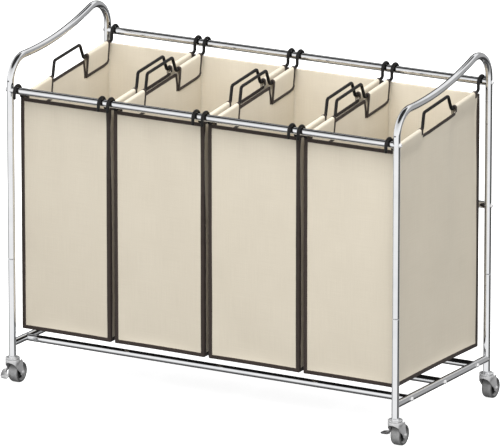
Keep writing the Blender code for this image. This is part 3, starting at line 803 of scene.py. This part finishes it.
def bag_cloth(middle):
    """A bag's cloth at rest in the row frame: walls, floor, and folds over the wires sewn down as flaps."""
    fold_r = BAG_HALF - WIRE_X
    (a, b), (c, d) = FOLDS
    keys = [BAG_FRONT, a, b, c, d - 0.006, d, BAG_BACK]
    ys = [y for start, end in zip(keys, keys[1:]) for y in spaced(start, end, CELL)] + [BAG_BACK]
    xs = spaced(-BAG_HALF, BAG_HALF, CELL) + [BAG_HALF]
    shares = spaced(0.0, 1.0, CELL / (wire_height(a) - FLAP_DEPTH - BAG_FLOOR_Z)) + [1.0]
    lifts = [(FLAP_DEPTH - NOTCH_DROP) * k / 3 for k in (1, 2, 3)]
    walls = ((BAG_FRONT, FRONT_TOP_Z), (BAG_BACK, REAR_TOP_Z))
    cloth = Cloth()

    def levels(y):
        seam = wire_height(y) - FLAP_DEPTH
        return [BAG_FLOOR_Z + (seam - BAG_FLOOR_Z) * s for s in shares] + [seam + lift for lift in lifts]

    def point(x, y, z):
        return middle + x, FRONT_Y + y, z

    for name, side in SIDES:
        def wall(y, z, side=side):
            return point(side * (BAG_HALF - (BAG_HALF - WIRE_X) * pull_in(y, z)), y, z)

        spots = list(zip(*([(y, z) for z in levels(y)] for y in ys)))
        cloth.panel(f"side_{name}", [[wall(*spot) for spot in row] for row in spots], spots)
        for end, (outer, top), inner in (("front", walls[0], a), ("rear", walls[1], d)):
            high = sorted([(outer, top), (inner, wire_height(inner))])
            low = [(y, levels(y)[-1]) for y, _ in high]
            rows = [[wall(*spot) for spot in low], [point(side * BAG_HALF, *spot) for spot in high]]
            cloth.panel(f"shoulder_{end}_{name}", rows, [low, high])
        for end, (start, stop) in zip(("front", "rear"), FOLDS):
            fold_ys = [y for y in ys if start - 1e-6 <= y <= stop + 1e-6]
            down = [(-fold_r * (1 - share ** 1.3), -FLAP_DEPTH * share) for share in (0.2, 0.45, 0.72)]
            rows = [[wall(y, levels(y)[-1]) for y in fold_ys]]
            lengths = [0.0]
            for across, up in arc((0, 0), fold_r, 0, 180, 8) + down:
                rows.append([point(side * (WIRE_X + across), y, wire_height(y) + up) for y in fold_ys])
            hem = [wall(y, levels(y)[len(shares) - 1]) for y in fold_ys]
            rows.append([(x - side * 1.15 * CLOTH, y, z) for x, y, z in hem])
            if end == "rear":                                      # its lower rear corner is cut round
                for k, lift in ((-2, 0.0024), (-1, 0.0090)):
                    corner = Vector(rows[-1][k])
                    rows[-1][k] = (corner.x - side * 0.0008, corner.y, corner.z + lift)
            for low, high in zip(rows, rows[1:]):
                lengths.append(lengths[-1] + (Vector(high[0]) - Vector(low[0])).length)
            uvs = [[(y, 0.7 + length) for y in fold_ys] for length in lengths]
            cloth.panel(f"flap_{end}_{name}", rows, uvs)
    for name, (y, top) in zip(("front", "back"), walls):
        zs = levels(y) + [top]
        cloth.panel(name, [[point(x, y, z) for x in xs] for z in zs], [[(1 + x, z) for x in xs] for z in zs])
    floor = [[point(x, y, BAG_FLOOR_Z) for x in xs] for y in ys]
    cloth.panel("floor", floor, [[(2 + x, y) for x in xs] for y in ys])
    return cloth


def cloth_mesh(cloth, name):
    """The cloth as a mesh with its coordinates, panel by panel, in metres."""
    bm = bmesh.new()
    verts = [bm.verts.new(p) for p in cloth.points]
    uv_layer = bm.loops.layers.uv.new("cloth")
    for key, grid in cloth.panels.items():
        uvs = cloth.uvs[key]
        for j in range(len(grid) - 1):
            for i in range(len(grid[0]) - 1):
                spots = [(j, i), (j, i + 1), (j + 1, i + 1), (j + 1, i)]
                face = bm.faces.new([verts[grid[r][c]] for r, c in spots])
                for loop, (r, c) in zip(face.loops, spots):
                    loop[uv_layer].uv = uvs[r][c]
    bmesh.ops.recalc_face_normals(bm, faces=bm.faces)
    mesh = bpy.data.meshes.new(name)
    bm.to_mesh(mesh)
    bm.free()
    return mesh


def column(grid, k):
    return [row[k] for row in grid]


def seam_lines(cloth):
    """The bag's sewn corners as lists of point numbers, with the grid columns or rows beside them."""
    front, back, floor = cloth.panels["front"], cloth.panels["back"], cloth.panels["floor"]
    lines = {}
    for name, edge, inner in (("left", 0, 1), ("right", -1, -2)):
        side = cloth.panels[f"side_{name}"]
        side = side + side[-1:]                                    # the front and back walls are a row higher
        lines[f"front_{name}"] = (column(front, edge), column(front, inner), column(side, 1))
        lines[f"back_{name}"] = (column(back, edge), column(back, inner), column(side, -2))
        lines[f"floor_{name}"] = (column(floor, edge), column(floor, inner), side[1])
    lines["floor_front"] = (floor[0], floor[1], front[1])
    lines["floor_back"] = (floor[-1], floor[-2], back[1])
    return lines


CLOTH_SETTINGS = {
    "quality": 6, "mass": 0.03, "air_damping": 2.5, "shrink_min": -0.002,
    "tension_stiffness": 30, "tension_stiffness_max": 120, "compression_stiffness": 30,
    "compression_stiffness_max": 120, "shear_stiffness": 12, "shear_stiffness_max": 40,
    "bending_stiffness": 1.5, "bending_stiffness_max": 12, "vertex_group_mass": "held",
    "vertex_group_structural_stiffness": "sewn", "vertex_group_shear_stiffness": "sewn",
    "vertex_group_bending": "sewn"}


def simulate(objects, groups):
    """Hangs the bags on their wires: a cloth simulation, whose settled points are returned."""
    for obj, (held, sewn) in zip(objects, groups):
        for name, points in (("held", held), ("sewn", sewn)):
            obj.vertex_groups.new(name=name).add(sorted(points), 1.0, "REPLACE")
        cloth = obj.modifiers.new("hang", "CLOTH")
        for key, value in CLOTH_SETTINGS.items():
            setattr(cloth.settings, key, value)
        cloth.collision_settings.use_collision = False
        cloth.point_cache.frame_start = 1
        cloth.point_cache.frame_end = SIM_FRAMES
    scene = bpy.context.scene
    for step in range(1, SIM_FRAMES + 1):
        scene.frame_set(step)
    graph = bpy.context.evaluated_depsgraph_get()
    settled = [np.array([v.co for v in obj.evaluated_get(graph).data.vertices]) for obj in objects]
    for obj in objects:
        obj.modifiers.clear()
        obj.vertex_groups.clear()
    scene.frame_set(1)
    return settled


def swell(rest, settled, cap):
    """The settled points, none further than cap from rest."""
    moved = settled - rest
    length = np.linalg.norm(moved, axis=1, keepdims=True)
    return rest + moved * np.minimum(1.0, cap / np.maximum(length, 1e-9))


def strip(bm, uv_layer, spine, frames, profile):
    """Sweeps a closed profile of (a, b, v) along the spine, where frames gives the a and b axes.

    v is the cloth coordinate across the tape."""
    rings, along = [], [0.0]
    for before, after in zip(spine, spine[1:]):
        along.append(along[-1] + (after - before).length)
    for point, (a_axis, b_axis) in zip(spine, frames):
        rings.append([bm.verts.new(point + a_axis * a + b_axis * b) for a, b, _ in profile])
    for s in range(len(rings) - 1):
        for k in range(len(profile)):
            after = (k + 1) % len(profile)
            spots = ((s, k), (s, after), (s + 1, after), (s + 1, k))
            face = bm.faces.new([rings[i][j] for i, j in spots])
            for loop, (i, j) in zip(face.loops, spots):
                loop[uv_layer].uv = (along[i], profile[j][2])
    for ring in (rings[0], rings[-1]):
        bm.faces.new(ring)


def corner_profile(width, lift):
    """Tape folded round a corner: a and b run into the two walls, and outside is negative."""
    inside = -0.0003
    half = [(width, inside, 0.0), (width, -lift * 0.6, 0.0), (width - 0.0004, -lift, 0.0004)]
    bend = [(-lift * 0.35, -lift, width), (-lift * 0.8, -lift * 0.8, width), (-lift, -lift * 0.35, width)]
    return half + bend + [(b, a, v) for a, b, v in reversed(half)] + [(inside, inside, 0.0)]


def edge_profile(width, lift):
    """Tape folded over a free edge: a runs into the cloth, and b is its normal."""
    half = CLOTH / 2 + lift
    side = [(width, half * 0.6, 0.0), (width - 0.0004, half, 0.0004), (0.0002, half, width),
            (-0.0007, half * 0.55, width)]
    return side + [(a, -b, v) for a, b, v in reversed(side)]


def facing_profile(width, lift, face, sunk=0.4):
    """Tape over a free edge that shows on one side of the cloth only: face is 1 or -1 along b.

    sunk is how deep its back lies below the cloth's middle, in thicknesses of the cloth."""
    outer, back = face * (CLOTH / 2 + lift), -face * CLOTH * sunk
    return [(width, back, 0.0), (width, outer * 0.6, 0.0), (width - 0.0004, outer, 0.0004),
            (0.0002, outer, width), (-0.0007, outer * 0.55, width), (-0.0007, back, width)]


def edge_frames(spine, inner):
    """For a free edge: the axis into the cloth and the cloth's normal, at each point."""
    frames = []
    last = len(spine) - 1
    for i, (point, within) in enumerate(zip(spine, inner)):
        along = (spine[min(i + 1, last)] - spine[max(i - 1, 0)]).normalized()
        into = within - point
        into = (into - along * into.dot(along)).normalized()
        frames.append((into, along.cross(into)))
    return frames


def bag_binding(cloth):
    """All the dark tape on one bag: folded round its sewn corners and over its free edges."""
    at = cloth.points
    bm = bmesh.new()
    uv_layer = bm.loops.layers.uv.new("cloth")

    def bind(edge, inner, profile):
        spine = [at[n] for n in edge]
        strip(bm, uv_layer, spine, edge_frames(spine, [at[n] for n in inner]), profile)

    for key, (corner, first, second) in seam_lines(cloth).items():
        spine = [at[n] for n in corner]
        frames = [[(at[m] - at[n]).normalized() for m in beside] for n, *beside in zip(corner, first, second)]
        lift = CLOTH / 2 + TAPE_LIFT + (0.0003 if "floor" not in key else 0)
        strip(bm, uv_layer, spine, frames, corner_profile(TAPE, lift))
    front = cloth.panels["front"]
    bind(front[-1], front[-3], edge_profile(TAPE, TAPE_LIFT))
    for name, facing in SIDES:
        side = cloth.panels[f"side_{name}"]
        ys = [y for y, _ in cloth.uvs[f"side_{name}"][0]]
        first, last = ys.index(FOLDS[0][1]), ys.index(FOLDS[1][0])
        bind(side[-1][first:last + 1], side[-2][first:last + 1], edge_profile(EDGING + 0.0004, EDGING_LIFT))
        for end, step in ((first, 1), (last, -1)):                 # ends of the channels, on the wall
            bind(column(side[-4:], end), column(side[-4:], end + step),
                 facing_profile(EDGING, EDGING_LIFT, facing * step))
        for end in ("front", "rear"):
            flap = cloth.panels[f"flap_{end}_{name}"]
            bind(column(flap, 0), column(flap, 1), facing_profile(EDGING, EDGING_LIFT, -facing))
            bind(column(flap, -1), column(flap, -2), facing_profile(EDGING, EDGING_LIFT, facing))
            bind(flap[-1], flap[-2], facing_profile(EDGING, EDGING_LIFT + 0.0009, -facing, -0.2))
            shoulder = cloth.panels[f"shoulder_{end}_{name}"]
            bind(shoulder[-1], shoulder[0], edge_profile(EDGING, EDGING_LIFT))
    return to_mesh(bm, 50)


def bag_hem(cloth):
    """The turned-down hem along the top of the rear panel, outside."""
    bm = bmesh.new()
    back = cloth.panels["back"]
    spine, inner = ([cloth.points[n] for n in back[row]] for row in (-1, -3))
    profile = facing_profile(HEM, HEM_LIFT, 1)
    strip(bm, bm.loops.layers.uv.new("cloth"), spine, edge_frames(spine, inner), profile)
    return to_mesh(bm, 50)


def loose_and_fixed(cloth):
    """Point numbers of the cloth that hang on the wires, that are sewn seams, and the rest."""
    panels = cloth.panels
    held = {n for key, grid in panels.items() if key.startswith("flap") for row in grid[1:] for n in row}
    held |= {n for key in ("front", "back", "side_left", "side_right") for n in panels[key][-1]}
    for key in ("side_left", "side_right"):                        # the flaps' lower seams
        held |= {n for n, (y, _) in zip(panels[key][-4], cloth.uvs[key][-4])
                 if any(a - 1e-6 <= y <= b + 1e-6 for a, b in FOLDS)}
    sewn = {n for line in seam_lines(cloth).values() for n in line[0]} | set(panels["front"][-1])
    return held, sewn, set(range(len(cloth.points))) - held - sewn


def finish_cloth(obj, cloth, canvas_mat):
    """Smooths and thickens the settled cloth, with its sewn corners kept sharp."""
    obj.data.materials.append(canvas_mat)
    obj.data.shade_smooth()
    lines = [line[0] for line in seam_lines(cloth).values()]
    sewn = {frozenset(pair) for line in lines for pair in zip(line, line[1:])}
    crease = obj.data.attributes.new("crease_edge", "FLOAT", "EDGE")
    crease.data.foreach_set("value", [float(frozenset(e.vertices) in sewn) for e in obj.data.edges])
    finer = obj.modifiers.new("finer", "SUBSURF")
    finer.levels = finer.render_levels = 1
    thick = obj.modifiers.new("thick", "SOLIDIFY")
    thick.thickness = CLOTH
    thick.offset = 0


def build_bags(canvas_mat, tape_mat, wire_mat):
    noise.seed_set(NOISE_SEED)
    cloths = [bag_cloth(middle) for _, middle in BAGS]
    objects, groups = [], []
    for (number, _), cloth in zip(BAGS, cloths):
        held, sewn, loose = loose_and_fixed(cloth)
        groups.append((held, sewn))
        for i in loose:
            place_in_noise = cloth.points[i] * 11.0 + Vector((number * 7.3, 0, 0))
            cloth.points[i] += noise.noise_vector(place_in_noise) * UNEVEN
        objects.append(put(f"bag_{number}_canvas", cloth_mesh(cloth, f"bag_{number}")))
    for obj, cloth, settled in zip(objects, cloths, simulate(objects, groups)):
        points = swell(np.array(cloth.points), settled, SETTLE_CAP)
        cloth.points = [Vector(p) for p in points]
        obj.data.vertices.foreach_set("co", points.astype(np.float32).ravel())
        obj.data.update()
    wire_mesh = wire()
    for (number, middle), obj, cloth in zip(BAGS, objects, cloths):
        body = f"bag_{number}"
        finish_cloth(obj, cloth, canvas_mat)
        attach(obj, body)
        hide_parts(f"{body}_cloth")
        tape = place(f"{body}_binding", bag_binding(cloth), tape_mat, body, slot="bag_cloth")
        hem = place(f"{body}_hem", bag_hem(cloth), canvas_mat, body, slot="bag_cloth")
        for name, side in SIDES:
            place(f"{body}_hanger_{name}", wire_mesh, wire_mat, body, f"{body}_wire_{name}",
                  slot="hanger_wire", at=moved(middle + side * WIRE_X, FRONT_Y, 0))


# ---------------------------------------------------------------- camera, light and floor

def build_camera():
    """A long lens from the front right, a little above."""
    yaw, pitch = math.radians(CAMERA_YAW), math.radians(CAMERA_PITCH)
    right = Vector((math.cos(yaw), math.sin(yaw), 0))
    back = Vector((math.sin(yaw) * math.cos(pitch), -math.cos(yaw) * math.cos(pitch), math.sin(pitch)))
    up = back.cross(right)
    aim = Vector((0, -0.010, 0.3968)) + 0.0028 * right - 0.0185 * up
    data = bpy.data.cameras.new("camera")
    data.lens, data.sensor_width = LENS, 36.0
    data.clip_end = 200
    camera = put("camera", data)
    camera.matrix_world = moved(*(aim + CAMERA_AWAY * back)) @ Matrix((right, up, back)).transposed().to_4x4()
    bpy.context.scene.camera = camera


def build_lamp():
    """A large soft lamp over the front, which the plating doesn't mirror."""
    data = bpy.data.lights.new("overhead", "AREA")
    data.shape = "RECTANGLE"
    data.size, data.size_y = LAMP_SIZE
    data.energy = LAMP_POWER
    lamp = put("overhead", data)
    lamp.location = LAMP_AT
    lamp.rotation_euler = (Vector((0, 0, 0.4)) - Vector(LAMP_AT)).to_track_quat("-Z", "Y").to_euler()
    lamp.visible_glossy = False


def grey_ramp(tree, factor, stops):
    """Brightness along -1..1 through (place, brightness) stops."""
    made = node(tree, "ValToRGB", Fac=ramp(tree, factor, -1, 1, 0, 1))
    elements = made.color_ramp.elements
    while len(elements) < len(stops):
        elements.new(0.5)
    for element, (spot, level) in zip(elements, stops):
        element.position = (spot + 1) / 2
        element.color = (level, level, level, 1)
    return made.outputs[0]


def build_world():
    """White surroundings over a dim underside; the plating mirrors a studio with dark cards instead."""
    world = bpy.data.worlds.new("studio")
    bpy.context.scene.world = world
    world.use_nodes = True
    tree = world.node_tree
    tree.nodes.clear()
    right, back, up = axes(tree, node(tree, "TexCoord").outputs["Generated"])
    ahead = grey_ramp(tree, up, [(-1, 0.08), (-0.76, 0.10), (-0.60, 0.40), (-0.40, 0.80), (-0.24, 0.98),
                                 (0.10, 1.0), (0.36, 0.92), (0.62, 0.70), (0.71, 0.60), (0.77, 0.05), (1, 0.03)])
    behind = grey_ramp(tree, up, [(-0.55, 0.05), (-0.42, 0.08), (-0.30, 0.36), (0.0, 0.42), (0.45, 0.36),
                                  (0.57, 0.88), (0.79, 0.95), (0.83, 0.10), (1, 0.06)])
    studio = mixed(tree, ramp(tree, back, 0.34, 0.48, 0, 1), ahead, behind)
    low = times(tree, ramp(tree, up, -0.52, -0.44, 0, 1), ramp(tree, up, -0.10, -0.02, 1, 0))
    card = times(tree, ramp(tree, right, 0.58, 0.66, 0, 1), ramp(tree, back, -0.14, -0.04, 0, 1))
    left = times(tree, ramp(tree, right, -0.90, -0.84, 1, 0), 0.6)
    sides = times(tree, low, calc(tree, "MAXIMUM", times(tree, card, 0.9), left))
    corner = times(tree, ramp(tree, right, -0.42, -0.36, 1, 0), ramp(tree, back, 0.50, 0.56, 0, 1))
    shade = times(tree, without(tree, sides), without(tree, times(tree, corner, 0.85)))
    strength = ramp(tree, up, -0.10, 0.10, WORLD_LIGHT * 0.07, WORLD_LIGHT)
    plain = node(tree, "Background", Color=(1, 1, 1, 1), Strength=strength).outputs[0]
    mirrored = node(tree, "Background", Color=studio, Strength=shade).outputs[0]
    glossy = node(tree, "LightPath").outputs["Is Glossy Ray"]
    node(tree, "OutputWorld", Surface=node(tree, "MixShader", in0=glossy, in1=plain, in2=mirrored).outputs[0])


def build_floor():
    """Plain white floor with a glow of its own, so that shadows on it stay faint."""
    mat, tree, where = surface("pale_floor", 0.9, Emission_Color=(1, 1, 1, 1), Emission_Strength=0.8)
    tone = mixed(tree, cloud(tree, where, 3.0), (0.78, 0.78, 0.78), (0.82, 0.82, 0.82))
    tree.links.new(tone, tree.nodes["Principled BSDF"].inputs["Base Color"])
    bm = bmesh.new()
    bmesh.ops.create_circle(bm, cap_ends=True, segments=96, radius=60)
    mesh = bpy.data.meshes.new("floor")
    bm.to_mesh(mesh)
    bm.free()
    mesh.materials.append(mat)
    floor = put("floor", mesh)
    floor.visible_glossy = floor.visible_diffuse = False


# ---------------------------------------------------------------- scene

bpy.context.scene.view_settings.view_transform = "Standard"
build_camera()
build_world()
build_lamp()
build_floor()
build_frame(chrome(), zinc("bright_zinc", (0.84, 0.84, 0.85), (0.92, 0.92, 0.93), 0.22, 0.25),
            # The holes' cups: near-black painted shade for the dark inside of the tubes.
            zinc("hole_painted_shade", (0.03, 0.03, 0.03), (0.06, 0.06, 0.06), 0.5))
build_casters(zinc("ring_zinc", (0.74, 0.75, 0.76), (0.88, 0.88, 0.89), 0.20, 0.7),
              zinc("fork_zinc", (0.58, 0.58, 0.59), (0.70, 0.70, 0.70), 0.36, 0.45),
              zinc("tab_zinc", (0.80, 0.80, 0.81), (0.90, 0.90, 0.90), 0.30),
              tyre(),
              # The wheel cores: dark plastic, coloured near-black also as painted shade for the recess in the
              # wheel's sides.
              moulded("core_plastic_and_painted_shade", (0.020, 0.020, 0.020), (0.040, 0.040, 0.040), 0.5))
build_bags(canvas(), binding(), dipped_wire())
